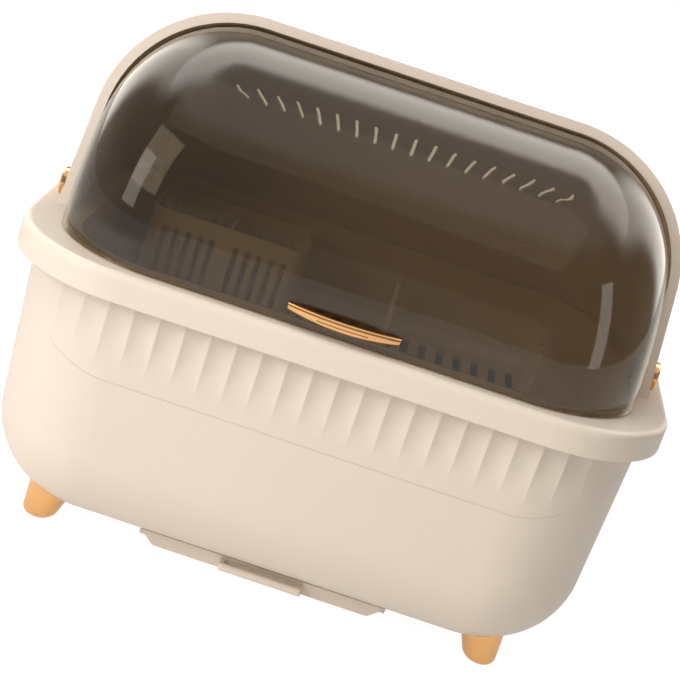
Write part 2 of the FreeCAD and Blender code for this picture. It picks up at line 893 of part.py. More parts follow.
def make_hood():
    # A thin shell with a thicker bead round its front edge, and a boss inside each pivot.
    shell = hood_form(0).cut(hood_form(hood_wall).common(behind_hoop(hoop_bead_length)))
    shell = shell.cut(hood_form(hoop_bead, rounded=False).cut(behind_hoop(hoop_bead_length)))
    shell = shell.common(behind_hoop(0))
    shell = shell.common(box(-far, far, -far, far, rim_top, rim_top + far))
    bosses = []
    for side in (-1, 1):
        boss = cross_pin(boss_radius, side * boss_face, side * (hood_half_width + past),
                         pivot_y, pivot_z)
        boss = boss.common(hood_form(bite / 2))
        bosses.append(boss.common(behind_hoop(bite / 2)))
    shell = fuse_all([shell] + bosses + hood_tongues(0))
    shell = shell.cut(cross_pin(pin_radius, -far / 2, far / 2, pivot_y, pivot_z))
    return shell.cut(vent_cutters())


# Pivots, made for the right-hand side

def make_pivot_pin():
    # A capped pin: dished round head outside the hood, plain shank through to the lid's ear.
    outside = hood_half_width - lean_tan * pivot_rise + cap_proud
    inner_end = ear_face - ear_thick - running_gap - clip_thick
    head = cross_pin(cap_radius, hood_half_width - cap_seat, outside, pivot_y, pivot_z)
    rim_edges = [edge for edge in head.Edges if edge.BoundBox.XMin > outside - edge_tolerance]
    head = head.makeFillet(cap_round, rim_edges)
    dish = cross_pin(cap_dish_radius, outside - cap_dish_depth, outside + past, pivot_y, pivot_z)
    button = cross_pin(cap_button_radius, outside - cap_dish_depth - bite,
                       outside - cap_button_sink, pivot_y, pivot_z)
    head = fuse_all([head.cut(dish), button])
    head = head.cut(hood_form(0))
    shank = cross_pin(pin_radius, inner_end, hood_half_width + bite, pivot_y, pivot_z)
    return fuse_all([head, shank])


def make_pivot_washer():
    washer = cross_pin(washer_radius, ear_face + running_gap, boss_face, pivot_y, pivot_z)
    return washer.cut(cross_pin(pin_radius, 0, far, pivot_y, pivot_z))


def make_pivot_clip():
    # A split ring on the pin's inner end.
    outer = ear_face - ear_thick - running_gap
    clip = cross_pin(clip_radius, outer - clip_thick, outer, pivot_y, pivot_z)
    clip = clip.cut(cross_pin(pin_radius, 0, far, pivot_y, pivot_z))
    slit = box(0, far, pivot_y - clip_slit / 2, pivot_y + clip_slit / 2, pivot_z - far, pivot_z)
    return clip.cut(slit)


# Lid

def lid_section(turn, inset):
    # One arch of the lid, in a plane through the fan axis below the rim. The turn runs from
    # the front foot at 0 degrees to the crown at 90 degrees.
    power = 2 / lid_roundness
    cos_turn = math.cos(math.radians(turn))
    sin_turn = math.sin(math.radians(turn))
    across = (lid_depth - inset) * math.copysign(abs(cos_turn) ** power, cos_turn)
    up = (lid_height - inset) * math.copysign(abs(sin_turn) ** power, sin_turn)
    axis_y = front + lid_fan_axis_setback
    axis_z = rim_top - lid_fan_axis_drop
    y = lid_face + lid_depth - across - axis_y
    z = rim_top + up - axis_z
    reach = math.hypot(y, z)
    direction = vec(0, y / reach, z / reach)
    share = min(max(turn / 90, 0), 1)
    base_half = lid_half_width_front + (lid_half_width_back - lid_half_width_front) * share
    radius = lid_corner_front + (lid_corner_back - lid_corner_front) * share - inset
    lean_rate = lean_tan * direction.z
    lean = math.atan(lean_rate)
    foot_half = base_half - inset + lean_tan * lid_fan_axis_drop
    centre_r = reach - radius
    centre_x = foot_half - lean_rate * centre_r - radius / math.cos(lean)
    core = lid_fan_core - inset
    low_x = foot_half - lean_rate * core
    mid = (lean + math.pi / 2) / 2
    tx = centre_x + radius * math.cos(lean)
    tr = centre_r + radius * math.sin(lean)
    mx = centre_x + radius * math.cos(mid)
    mr = centre_r + radius * math.sin(mid)

    def at(x, r):
        return vec(x, axis_y, axis_z) + direction * r

    edges = [
        Part.LineSegment(at(low_x, core), at(tx, tr)).toShape(),
        Part.Arc(at(tx, tr), at(mx, mr), at(centre_x, reach)).toShape(),
        Part.LineSegment(at(centre_x, reach), at(-centre_x, reach)).toShape(),
        Part.Arc(at(-centre_x, reach), at(-mx, mr), at(-tx, tr)).toShape(),
        Part.LineSegment(at(-tx, tr), at(-low_x, core)).toShape(),
        Part.LineSegment(at(-low_x, core), at(low_x, core)).toShape(),
    ]
    return Part.Wire(edges)


def lid_form(inset):
    # The lid's outer form moved inwards by inset. An inner form starts and ends a little
    # further round the fan, so that it opens both ends of the outer one.
    first = lid_fan_from - inset
    last = lid_fan_to + inset
    sections = []
    for step in range(lid_fan_steps + 1):
        sections.append(lid_section(first + (last - first) * step / lid_fan_steps, inset))
    return Part.makeLoft(sections, True, False)


def make_lid():
    outer = lid_form(0)
    foot = rim_top + lid_lift
    ahead = box(-far, far, -far, far, foot, far).cut(behind_hoop(lid_tuck))
    shell = outer.cut(lid_form(lid_wall)).common(ahead)
    bead = outer.cut(lid_form(lid_bead)).common(ahead)
    bead = bead.common(box(-far, far, -far, far, foot, foot + lid_bead_height))
    ears = []
    for side in (-1, 1):
        x0 = side * (ear_face - ear_thick)
        x1 = side * ear_face
        disc = cross_pin(ear_radius, x0, x1, pivot_y, pivot_z)
        arm = box(min(x0, x1), max(x0, x1), pivot_y - ear_reach, pivot_y,
                  pivot_z - ear_radius, pivot_z + ear_radius)
        ears.append(fuse_all([disc, arm]))
    body = fuse_all([shell, bead] + ears)
    body = body.cut(cross_pin(pin_radius + pin_running_gap, -far / 2, far / 2, pivot_y, pivot_z))
    return body.cut(screw_bars(handle_screw_radius, lid_face - past, lid_face + 2 * past))


# Handle

def screw_bars(radius, y0, y1):
    # Round bars along Y at the two places where the handle is screwed on.
    bars = []
    for x in handle_screw_places:
        bars.append(Part.makeCylinder(radius, y1 - y0, vec(x, y0, handle_mid_z), vec(0, 1, 0)))
    return bars


def bow_slab(half_width, end_thick, reach, low, high):
    # A bow seen from above: a bulging front arc closed by a straight line inside the lid.
    y_end = lid_face - end_thick
    y_back = lid_face + lid_wall
    left = vec(-half_width, y_end, low)
    right = vec(half_width, y_end, low)
    left_back = vec(-half_width, y_back, low)
    right_back = vec(half_width, y_back, low)
    edges = [
        Part.Arc(left, vec(0, lid_face - reach, low), right).toShape(),
        Part.LineSegment(right, right_back).toShape(),
        Part.LineSegment(right_back, left_back).toShape(),
        Part.LineSegment(left_back, left).toShape(),
    ]
    return Part.Face(Part.Wire(edges)).extrude(vec(0, 0, high - low))


def handle_front(low, high):
    # The bow's outline seen from the front: level on top and deepest in its middle.
    hw = handle_half_width
    end_low = high - handle_end_height
    y = lid_face - handle_reach - past
    edges = [
        Part.Arc(vec(-hw, y, end_low), vec(0, y, low), vec(hw, y, end_low)).toShape(),
        Part.LineSegment(vec(hw, y, end_low), vec(hw, y, high)).toShape(),
        Part.LineSegment(vec(hw, y, high), vec(-hw, y, high)).toShape(),
        Part.LineSegment(vec(-hw, y, high), vec(-hw, y, end_low)).toShape(),
    ]
    return Part.Face(Part.Wire(edges)).extrude(vec(0, far, 0))


def make_handle():
    # A bow that stands off the lid between its two ends, with a shallow groove along its face.
    high = handle_low + handle_height
    bow = bow_slab(handle_half_width, handle_end_thick, handle_reach, handle_low, high)
    bow = bow.common(handle_front(handle_low, high))
    chosen = [edge for edge in bow.Edges if edge.BoundBox.YMax < lid_face - edge_tolerance]
    bow = bow.makeFillet(handle_round, chosen)
    gap = bow_slab(handle_gap_half_width, 0, handle_reach - handle_bar,
                   handle_low - past, high + past)
    groove_low = handle_mid_z - handle_groove / 2
    groove = bow_slab(handle_half_width, handle_end_thick + past, handle_reach + past,
                      groove_low, groove_low + handle_groove)
    groove = groove.common(box(-handle_groove_half_width, handle_groove_half_width,
                               -far, far, 0, far))
    groove = groove.cut(bow_slab(handle_half_width, handle_end_thick - handle_groove_depth,
                                 handle_reach - handle_groove_depth, handle_low, high))
    bow = bow.cut([gap, groove, lid_form(0)])
    return bow.cut(screw_bars(handle_screw_radius, lid_face - handle_screw_bite, far))


def make_handle_screws():
    screws = []
    inside = lid_form(lid_wall)
    seat = lid_face + lid_wall
    shanks = screw_bars(handle_screw_radius, lid_face - handle_screw_bite, seat + bite)
    heads = screw_bars(handle_screw_head, seat - bite, seat + handle_screw_head_thick)
    for shank, head in zip(shanks, heads):
        screws.append(fuse_all([shank, head.common(inside)]))
    return Part.makeCompound(screws)


# Soft pads

def make_hood_pads():
    # Three small pads under the hood's roof, just behind its front bead.
    slope_tan = math.tan(math.radians(hood_roof_slope))
    y0 = hood_crown_y + hoop_bead_length
    roof = rim_top + hood_height - hood_wall - slope_tan * (y0 + pad_length - hood_crown_y)
    room = hood_form(hood_wall).common(behind_hoop(hoop_bead_length))
    pads = []
    for step in (-1, 0, 1):
        x = step * pad_pitch
        pad = box(x - pad_width / 2, x + pad_width / 2, y0, y0 + pad_length,
                  roof - pad_thick, rim_top + hood_height)
        pads.append(pad.common(room))
    return Part.makeCompound(pads)


def bumper_places():
    x = lid_half_width_front - bumper_inset
    return (-x, x)


def make_lid_bumpers():
    # Plugs in the rim frame that the closed lid comes down on.
    bumpers = []
    low = rim_top - rim_wall
    top = rim_top + lid_lift - bumper_gap
    for x in bumper_places():
        plug = upright(bumper_radius, top - low, x, front + bumper_setback, low)
        bumpers.append(plug.makeFillet(bumper_gap, edges_on(plug, z=top)))
    return Part.makeCompound(bumpers)


# Dish basket

def basket_form(inset, z0, z1):
    clear = basket_clear + inset
    taper = math.tan(math.radians(basket_draft))
    width = opening_width - 2 * clear
    depth = opening_depth - 2 * clear
    return drafted_form(width, depth, opening_corner - clear, z0, z1, taper,
                        max(basket_round - inset, bite), opening_mid)


def basket_slots():
    cutters = []
    taper = math.tan(math.radians(basket_draft)) * basket_depth
    usable_x = opening_width / 2 - basket_clear - taper - basket_slot_margin
    usable_y = opening_depth / 2 - basket_clear - taper - basket_slot_margin
    columns = int((2 * usable_x - basket_slot_width) // basket_slot_pitch)
    row_pitch = 2 * usable_y / basket_slot_rows
    length = row_pitch - basket_slot_pitch + basket_slot_width
    for column in range(columns + 1):
        x = (column - columns / 2) * basket_slot_pitch
        for row in range(basket_slot_rows):
            y = opening_mid - usable_y + row_pitch * (row + 0.5)
            in_corner = abs(x) > usable_x - basket_corner_margin
            if in_corner and row in (0, basket_slot_rows - 1):
                continue
            cutters.append(box(x - basket_slot_width / 2, x + basket_slot_width / 2,
                               y - length / 2, y + length / 2,
                               basket_floor - past, insert_floor + past))
    return cutters


def make_dish_basket():
    # The flange hangs on the rim frame; its neck drops through the opening.
    low = rim_top + running_gap
    top = low + basket_flange_thick
    outer = basket_form(0, basket_floor, rim_top)
    inner = basket_form(basket_wall, insert_floor, top + bite)
    flange = rounded_slab(opening_width + 2 * basket_lap, opening_depth + 2 * basket_lap,
                          opening_corner + basket_lap, low, top, opening_mid)
    neck = rounded_slab(opening_width - 2 * basket_clear, opening_depth - 2 * basket_clear,
                        opening_corner - basket_clear, rim_top - bite / 2, top - bite / 2,
                        opening_mid)
    body = fuse_all([outer, neck, flange]).cut(inner)
    return body.cut(basket_slots())


# Plate rack

def rack_room():
    # The space a rack may fill: clear of the basket's round corners and floor edge.
    radius = opening_corner - basket_shrink - rack_wall_gap
    return rounded_slab(2 * (room_half_width - rack_wall_gap), room_depth - 2 * rack_wall_gap,
                        radius, insert_floor - bite, rim_top, opening_mid)


def make_plate_rack():
    # Two rails along the depth with rows of rounded pegs, joined by cross bars.
    z0 = insert_floor
    z1 = z0 + plate_rack_bar
    peg_low = z0 + bite
    x0 = plate_rack_left
    x1 = room_half_width - plate_rack_side_gap
    length = room_depth * plate_rack_share
    y1 = room_back - rack_wall_gap
    y0 = y1 - length
    pitch = (length - 2 * plate_rack_bar) / (plate_peg_count - 1)
    parts = []
    for row in plate_rows:
        x = x0 + (x1 - x0) * row
        parts.append(box(x - plate_rail_width / 2, x + plate_rail_width / 2, y0, y1, z0, z1))
        for index in range(plate_peg_count):
            y = y0 + plate_rack_bar + index * pitch
            parts.append(upright(plate_peg_radius, plate_peg_height, x, y, peg_low))
            parts.append(Part.makeSphere(plate_peg_radius, vec(x, y, peg_low + plate_peg_height)))
    for y in (y0, y1 - plate_rack_bar):
        parts.append(box(x0, x1, y, y + plate_rack_bar, z0, z1))
    return fuse_all(parts).common(rack_room())


# Bowl rack

def make_bowl_rack():
    # A low comb of cross ribs on three long bars.
    z0 = insert_floor
    y0 = room_front + rack_wall_gap
    y1 = y0 + room_depth * bowl_rack_share
    hw = room_half_width - bowl_rack_side_gap
    half_bar = bowl_rack_bar / 2
    top = z0 + bowl_rib_height
    parts = []
    for y in (y0 + bowl_bar_margin, (y0 + y1) / 2, y1 - bowl_bar_margin):
        parts.append(box(-hw, hw, y - half_bar, y + half_bar, z0, z0 + bowl_rack_bar))
    steps = int(2 * hw // bowl_rib_pitch)
    for index in range(steps + 1):
        x = (index - steps / 2) * bowl_rib_pitch
        rib = box(x - bowl_rib_thick / 2, x + bowl_rib_thick / 2, y0, y1, z0, top)
        ends = edges_on(rib, y=y0, z=top) + edges_on(rib, y=y1, z=top)
        parts.append(rib.makeFillet(bowl_rib_round, ends))
    return fuse_all(parts).common(rack_room())


# Cutlery cage

def make_cutlery_cage():
    # An open pot with slotted walls and floor, and a divider across its middle.
    z0 = insert_floor + running_gap
    z1 = z0 + cage_height
    cage_depth = room_depth * cage_share
    half_depth = cage_depth / 2
    y_mid = room_back - cage_back_gap - half_depth
    outer = rounded_slab(cage_width, cage_depth, cage_corner, z0, z1, y_mid)
    inner = rounded_slab(cage_width - 2 * cage_wall, cage_depth - 2 * cage_wall,
                         cage_corner - cage_wall, z0 + cage_wall, z1 + past, y_mid)
    divider = box(-cage_wall / 2, cage_wall / 2, y_mid - half_depth + bite,
                  y_mid + half_depth - bite, z0 + bite, z1 - cage_divider_drop)
    body = fuse_all([outer.cut(inner), divider])
    cutters = []
    half_slot = cage_slot / 2
    floor_half = half_depth - cage_corner
    each_side = int((cage_width / 2 - cage_corner) // cage_slot_pitch)
    for index in range(1, each_side + 1):
        for side in (-1, 1):
            x = side * index * cage_slot_pitch
            cutters.append(box(x - half_slot, x + half_slot, y_mid - cage_depth,
                               y_mid + cage_depth, z0 + cage_slot_low, z1 - cage_slot_high))
            cutters.append(box(x - half_slot, x + half_slot, y_mid - floor_half,
                               y_mid + floor_half, z0 - past, z0 + cage_wall + bite))
    body = body.cut(cutters)
    body.translate(vec(cage_width / 2 + cage_side_gap - room_half_width, 0, 0))
    return body


# Export

def export_all():
    os.makedirs("parts", exist_ok=True)
    nodes = {
        "tub": make_tub(),
        "drain_outlet": make_drain_outlet(),
        "outlet_seal": make_outlet_seal(),
        "outlet_nut": make_outlet_nut(),
        "sump_strainer": make_sump_strainer(),
        "foot_pads": make_foot_pads(),
        "foot_screws": make_foot_screws(),
        "drip_tray": make_drip_tray(),
        "tray_runner_right": make_tray_runner(),
        "runner_screws": make_runner_screws(),
        "rim_frame": make_rim_frame(),
        "hood": make_hood(),
        "pivot_pin_right": make_pivot_pin(),
        "pivot_washer_right": make_pivot_washer(),
        "pivot_clip_right": make_pivot_clip(),
        "lid": make_lid(),
        "lid_handle": make_handle(),
        "handle_screws": make_handle_screws(),
        "hood_pads": make_hood_pads(),
        "lid_bumpers": make_lid_bumpers(),
        "dish_basket": make_dish_basket(),
        "plate_rack": make_plate_rack(),
        "bowl_rack": make_bowl_rack(),
        "cutlery_cage": make_cutlery_cage(),
    }
    for name in ("tray_runner", "pivot_pin", "pivot_washer", "pivot_clip"):
        nodes[name + "_left"] = mirrored(nodes[name + "_right"])
    places = ("front_left", "front_right", "back_left", "back_right")
    for place, (x, y) in zip(places, foot_places()):
        nodes["foot_" + place] = make_foot(x, y)
    for name, shape in nodes.items():
        solids = len(shape.Solids)
        print(name, "solids", solids, "valid", shape.isValid(), "volume", round(shape.Volume))
        shape.exportStep("parts/" + name + ".step")


export_all()
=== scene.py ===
import bpy
import math
from mathutils import Vector, Matrix

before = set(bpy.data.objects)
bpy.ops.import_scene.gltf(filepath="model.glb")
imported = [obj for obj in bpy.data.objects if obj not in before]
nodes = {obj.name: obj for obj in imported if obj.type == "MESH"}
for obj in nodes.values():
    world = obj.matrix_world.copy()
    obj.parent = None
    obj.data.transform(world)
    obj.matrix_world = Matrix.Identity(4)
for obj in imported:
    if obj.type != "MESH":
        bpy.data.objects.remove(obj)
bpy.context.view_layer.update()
print("frame loaded:", len(nodes), "nodes")


# Camera

cameraSettings = {
    "aim": (0.0, -0.150, 0.210),      # the middle of the rim's front top edge
    "distance": 1.150,
    "pitch": 18.3,                    # degrees looking down
    "roll": 18.4,
    "pixelFocal": 1818.0,             # focal length in pixels of the picture
    "picture": 680.0,
    "aimOffset": (-1.0, 6.5),         # where the aim falls, in pixels right of and below the middle
    "sensor": 36.0,
    "near": 0.05,
    "far": 50.0,
}


def makeCamera(settings):
    pitch = math.radians(settings["pitch"])
    roll = math.radians(settings["roll"])
    right = Vector((1, 0, 0))
    forward = Vector((0, math.cos(pitch), -math.sin(pitch)))
    up = Vector((0, math.sin(pitch), math.cos(pitch)))
    aside, below = settings["aimOffset"]
    perPixel = settings["distance"] / settings["pixelFocal"]
    place = Vector(settings["aim"]) - forward * settings["distance"]
    place += up * below * perPixel - right * aside * perPixel
    rolledUp = up * math.cos(roll) - right * math.sin(roll)
    rolledRight = right * math.cos(roll) + up * math.sin(roll)
    data = bpy.data.cameras.new("photoCamera")
    data.sensor_width = settings["sensor"]
    data.lens = settings["pixelFocal"] / settings["picture"] * settings["sensor"]
    data.clip_start = settings["near"]
    data.clip_end = settings["far"]
    camera = bpy.data.objects.new("photoCamera", data)
    turn = Matrix((rolledRight, rolledUp, -forward)).transposed()
    camera.matrix_world = Matrix.Translation(place) @ turn.to_4x4()
    bpy.context.scene.collection.objects.link(camera)
    bpy.context.scene.camera = camera


makeCamera(cameraSettings)
print("camera placed")


# Small helpers for shader nodes

def feed(tree, node, inputs):
    # Each input gets a plain value or a link from another node's output.
    for socket, given in inputs.items():
        if isinstance(given, bpy.types.NodeSocket):
            tree.links.new(given, node.inputs[socket])
        else:
            node.inputs[socket].default_value = given


def addNode(tree, kind, inputs=None, **options):
    node = tree.nodes.new(kind)
    for name, value in options.items():
        setattr(node, name, value)
    feed(tree, node, inputs or {})
    return node


def mathOf(tree, operation, *values):
    return addNode(tree, "ShaderNodeMath", dict(enumerate(values)), operation=operation).outputs[0]


def smoothStep(tree, value, limits):
    step = addNode(tree, "ShaderNodeMapRange", {
        "Value": value, "From Min": limits[0], "From Max": limits[1]},
        interpolation_type="SMOOTHSTEP")
    return step.outputs["Result"]


def mixShaders(tree, share, first, second):
    return addNode(tree, "ShaderNodeMixShader", {
        "Fac": share, 1: first.outputs[0], 2: second.outputs[0]})


def startMaterial(name):
    material = bpy.data.materials.new(name)
    material.use_nodes = True
    material.node_tree.nodes.clear()
    return material, material.node_tree


# Studio

studioSettings = {
    "floorSize": 8.0,
    "floorDrop": 0.0004,              # keeps the floor clear of the feet's pads
    "floorColour": (0.90, 0.90, 0.90, 1),
    "floorGlow": 0.80,                # share of plain white in the floor as it is seen
    "floorWhite": 1.20,
    "floorMirrored": 0.45,            # share of the white floor seen in shiny surfaces
    "worldMirrored": 0.10,            # the same for the white behind the object
    "brighterLeft": 1.40,
    "dimmerRight": 0.38,
    "skylight": 4.8,                  # the bright strip overhead, seen in shiny surfaces only
    "skylightColour": (1.0, 0.95, 0.88, 1),
    "skylightFrom": (0.60, 0.72),     # where it begins and ends, as the height of the direction
    "skylightTo": (0.97, 0.91),
    "skylightBehind": (-0.20, 0.20),  # it lies behind the object and not over the viewer
    "armShare": 0.60,                 # its two arms down the sides, as a share of its strength
    "armsFrom": (0.30, 0.52),         # where they begin and end, as the direction's way to the side
    "armsTo": (0.86, 0.70),
    "armsAbove": (-0.30, 0.00),
}

roomBands = [
    # share of the way from straight down to straight up, and the room's colour there
    (0.00, (0.50, 0.47, 0.44, 1)),
    (0.50, (0.36, 0.31, 0.26, 1)),
    (0.64, (0.25, 0.205, 0.165, 1)),
    (0.84, (0.30, 0.255, 0.21, 1)),
    (0.92, (0.95, 0.92, 0.88, 1)),
    (1.00, (1.00, 0.98, 0.95, 1)),
]

lampSettings = {
    # matt: it lights matt surfaces; shiny: it shows in shiny ones
    "keyLeft": {"place": (-1.0, -1.0, 0.78), "aim": (0, -0.05, 0.16), "size": (0.75, 0.70),
                "watts": 9.7, "colour": (1.0, 0.98, 0.955), "matt": True, "shiny": False},
    "paneLeft": {"place": (-1.05, -0.85, 0.50), "aim": (0, -0.05, 0.25), "size": (0.30, 0.50),
                 "watts": 0.9, "colour": (1.0, 0.98, 0.95), "matt": True, "shiny": True},
    "stripRight": {"place": (1.15, -0.75, 0.55), "aim": (0, 0, 0.25), "size": (0.26, 0.80),
                   "watts": 1.2, "colour": (1.0, 0.97, 0.93), "matt": False, "shiny": True},
    "topSoft": {"place": (-0.25, -0.60, 1.3), "aim": (0, -0.05, 0.2), "size": (1.5, 0.9),
                "watts": 5.7, "colour": (1.0, 0.985, 0.965), "matt": True, "shiny": False},
    "backSoft": {"place": (-0.40, 1.5, 0.90), "aim": (0, 0, 0.2), "size": (1.4, 1.0),
                 "watts": 3.8, "colour": (1.0, 0.985, 0.965), "matt": True, "shiny": False},
    "lowFront": {"place": (0.0, -1.7, 0.25), "aim": (0, 0, 0.12), "size": (1.2, 0.5),
                 "watts": 1.5, "colour": (1.0, 0.98, 0.95), "matt": True, "shiny": False},
}


def backgroundSeen(tree, mirrored):
    # 1 where a ray should find the white background: seen straight, through clear pieces,
    # and by the given share in shiny ones.
    path = addNode(tree, "ShaderNodeLightPath").outputs
    direct = mathOf(tree, "MAXIMUM", path["Is Camera Ray"], path["Is Transmission Ray"])
    shiny = mathOf(tree, "MULTIPLY", path["Is Glossy Ray"], mirrored)
    return mathOf(tree, "MAXIMUM", direct, shiny)


def makeFloor(settings):
    half = settings["floorSize"] / 2
    corners = [(-half, -half, 0), (half, -half, 0), (half, half, 0), (-half, half, 0)]
    mesh = bpy.data.meshes.new("studioFloor")
    mesh.from_pydata(corners, [], [(0, 1, 2, 3)])
    floor = bpy.data.objects.new("studioFloor", mesh)
    floor.location.z = -settings["floorDrop"]
    bpy.context.scene.collection.objects.link(floor)
    material, tree = startMaterial("studioFloorPaper")
    paper = addNode(tree, "ShaderNodeBsdfDiffuse", {"Color": settings["floorColour"]})
    glow = addNode(tree, "ShaderNodeEmission", {
        "Color": (1, 1, 1, 1), "Strength": settings["floorWhite"]})
    seen = backgroundSeen(tree, settings["floorMirrored"])
    share = mathOf(tree, "MULTIPLY", seen, settings["floorGlow"])
    mix = mixShaders(tree, share, paper, glow)
    addNode(tree, "ShaderNodeOutputMaterial", {"Surface": mix.outputs[0]})
    mesh.materials.append(material)


def makeSkylight(tree, direction, settings):
    # 1 in the strip overhead and in part down its two arms.
    overhead = mathOf(tree, "MULTIPLY",
                      smoothStep(tree, direction["Z"], settings["skylightFrom"]),
                      smoothStep(tree, direction["Z"], settings["skylightTo"]))
    aside = mathOf(tree, "ABSOLUTE", direction["X"])
    arms = mathOf(tree, "MULTIPLY", smoothStep(tree, aside, settings["armsFrom"]),
                  smoothStep(tree, aside, settings["armsTo"]))
    arms = mathOf(tree, "MULTIPLY", arms,
                  smoothStep(tree, direction["Z"], settings["armsAbove"]))
    arms = mathOf(tree, "MULTIPLY", arms, settings["armShare"])
    return mathOf(tree, "MULTIPLY", mathOf(tree, "MAXIMUM", overhead, arms),
                  smoothStep(tree, direction["Y"], settings["skylightBehind"]))


def makeWorld(settings, bands):
    world = bpy.data.worlds.new("studioWorld")
    bpy.context.scene.world = world
    world.use_nodes = True
    tree = world.node_tree
    tree.nodes.clear()
    where = addNode(tree, "ShaderNodeTexCoord")
    direction = addNode(tree, "ShaderNodeSeparateXYZ", {0: where.outputs["Generated"]}).outputs
    height = addNode(tree, "ShaderNodeMapRange", {"Value": direction["Z"], "From Min": -1.0})
    ramp = addNode(tree, "ShaderNodeValToRGB", {"Fac": height.outputs["Result"]})
    ramp.color_ramp.interpolation = "EASE"
    stops = ramp.color_ramp.elements
    for index, (place, colour) in enumerate(bands):
        stop = stops[index] if index < 2 else stops.new(place)   # a new ramp has two stops
        stop.position = place
        stop.color = colour
    side = addNode(tree, "ShaderNodeMapRange", {
        "Value": direction["X"], "From Min": -1.0,
        "To Min": settings["brighterLeft"], "To Max": settings["dimmerRight"]})
    light = addNode(tree, "ShaderNodeBackground", {
        "Color": ramp.outputs["Color"], "Strength": side.outputs["Result"]})
    sky = addNode(tree, "ShaderNodeBackground", {
        "Color": settings["skylightColour"], "Strength": settings["skylight"]})
    path = addNode(tree, "ShaderNodeLightPath")
    strip = mathOf(tree, "MULTIPLY", makeSkylight(tree, direction, settings),
                   path.outputs["Is Glossy Ray"])
    room = mixShaders(tree, strip, light, sky)
    white = addNode(tree, "ShaderNodeBackground", {"Color": (1, 1, 1, 1), "Strength": 1.0})
    seen = mixShaders(tree, backgroundSeen(tree, settings["worldMirrored"]), room, white)
    addNode(tree, "ShaderNodeOutputWorld", {"Surface": seen.outputs[0]})


def makeLamps(lamps):
    for name, settings in lamps.items():
        data = bpy.data.lights.new(name, "AREA")
        data.shape = "RECTANGLE"
        data.size, data.size_y = settings["size"]
        data.energy = settings["watts"]
        data.color = settings["colour"]
        lamp = bpy.data.objects.new(name, data)
        place = Vector(settings["place"])
        lamp.location = place
        aim = Vector(settings["aim"])
        lamp.rotation_euler = (aim - place).to_track_quat("-Z", "Y").to_euler()
        lamp.visible_diffuse = settings["matt"]
        lamp.visible_glossy = settings["shiny"]
        bpy.context.scene.collection.objects.link(lamp)


makeFloor(studioSettings)
makeWorld(studioSettings, roomBands)
makeLamps(lampSettings)
bpy.context.scene.view_settings.view_transform = "Standard"
print("studio ready")


# Shared effects, each a group placed in the materials with its own values

effectSettings = {
    "slowDetail": 3.0,                # the slow wander of the tone
    "slowRoughness": 0.55,
    "fineScale": 60.0,                # the finer wander of the gloss
    "fineDetail": 4.0,
    "fineMiddle": 0.5,
    "grainDetail": 2.0,
    "waveScale": 26.0,                # the moulded wall's faint waves
    "waveDetail": 1.0,
    "edgeSamples": 4,
    "dustLevel": (0.55, 1.0),         # how far a face looks up where dust begins and is full
    "dustDetail": 6.0,
}


def newGroup(name, inputs, outputs):
    group = bpy.data.node_groups.new(name, "ShaderNodeTree")
    for label, kind, value in inputs:
        socket = group.interface.new_socket(label, in_out="INPUT", socket_type=kind)
        socket.default_value = value
    for label, kind in outputs:
        group.interface.new_socket(label, in_out="OUTPUT", socket_type=kind)
    start = group.nodes.new("NodeGroupInput")
    end = group.nodes.new("NodeGroupOutput")
    return group, start.outputs, end


def makeToneDrift(settings):
    # Slow wander of a colour and of the gloss over a moulded surface.
    group, given, end = newGroup("toneDrift", [
        ("Colour", "NodeSocketColor", (0.8, 0.8, 0.8, 1)),
        ("Deeper", "NodeSocketColor", (0.7, 0.7, 0.7, 1)),
        ("Amount", "NodeSocketFloat", 0.3),
        ("Scale", "NodeSocketFloat", 9.0),
        ("Gloss", "NodeSocketFloat", 0.35),
        ("Gloss Spread", "NodeSocketFloat", 0.05),
    ], [("Colour", "NodeSocketColor"), ("Roughness", "NodeSocketFloat")])
    place = addNode(group, "ShaderNodeTexCoord").outputs["Object"]
    slow = addNode(group, "ShaderNodeTexNoise", {
        "Vector": place, "Scale": given["Scale"], "Detail": settings["slowDetail"],
        "Roughness": settings["slowRoughness"]})
    amount = mathOf(group, "MULTIPLY", slow.outputs["Fac"], given["Amount"])
    blend = addNode(group, "ShaderNodeMix", {
        "Factor": amount, "A": given["Colour"], "B": given["Deeper"]}, data_type="RGBA")
    fine = addNode(group, "ShaderNodeTexNoise", {
        "Vector": place, "Scale": settings["fineScale"], "Detail": settings["fineDetail"]})
    centred = mathOf(group, "SUBTRACT", fine.outputs["Fac"], settings["fineMiddle"])
    gloss = mathOf(group, "MULTIPLY_ADD", centred, given["Gloss Spread"], given["Gloss"])
    feed(group, end, {"Colour": blend.outputs["Result"], "Roughness": gloss})
    return group


def makeMouldGrain(settings):
    # The fine even grain that a spark-finished mould leaves, as a height.
    group, given, end = newGroup("mouldGrain", [
        ("Scale", "NodeSocketFloat", 1400.0),
        ("Waviness", "NodeSocketFloat", 0.25),
    ], [("Height", "NodeSocketFloat")])
    place = addNode(group, "ShaderNodeTexCoord").outputs["Object"]
    grain = addNode(group, "ShaderNodeTexNoise", {
        "Vector": place, "Scale": given["Scale"], "Detail": settings["grainDetail"]})
    wave = addNode(group, "ShaderNodeTexNoise", {
        "Vector": place, "Scale": settings["waveScale"], "Detail": settings["waveDetail"]})
    height = mathOf(group, "MULTIPLY_ADD", wave.outputs["Fac"], given["Waviness"],
                    grain.outputs["Fac"])
    feed(group, end, {"Height": height})
    return group


def makeSoftEdges(settings):
    # Normals that run softly round the edges, as the radius in a mould does.
    group, given, end = newGroup("softEdges", [("Radius", "NodeSocketFloat", 0.0006)],
                                 [("Normal", "NodeSocketVector")])
    bevel = addNode(group, "ShaderNodeBevel", {"Radius": given["Radius"]},
                    samples=settings["edgeSamples"])
    feed(group, end, {"Normal": bevel.outputs["Normal"]})
    return group


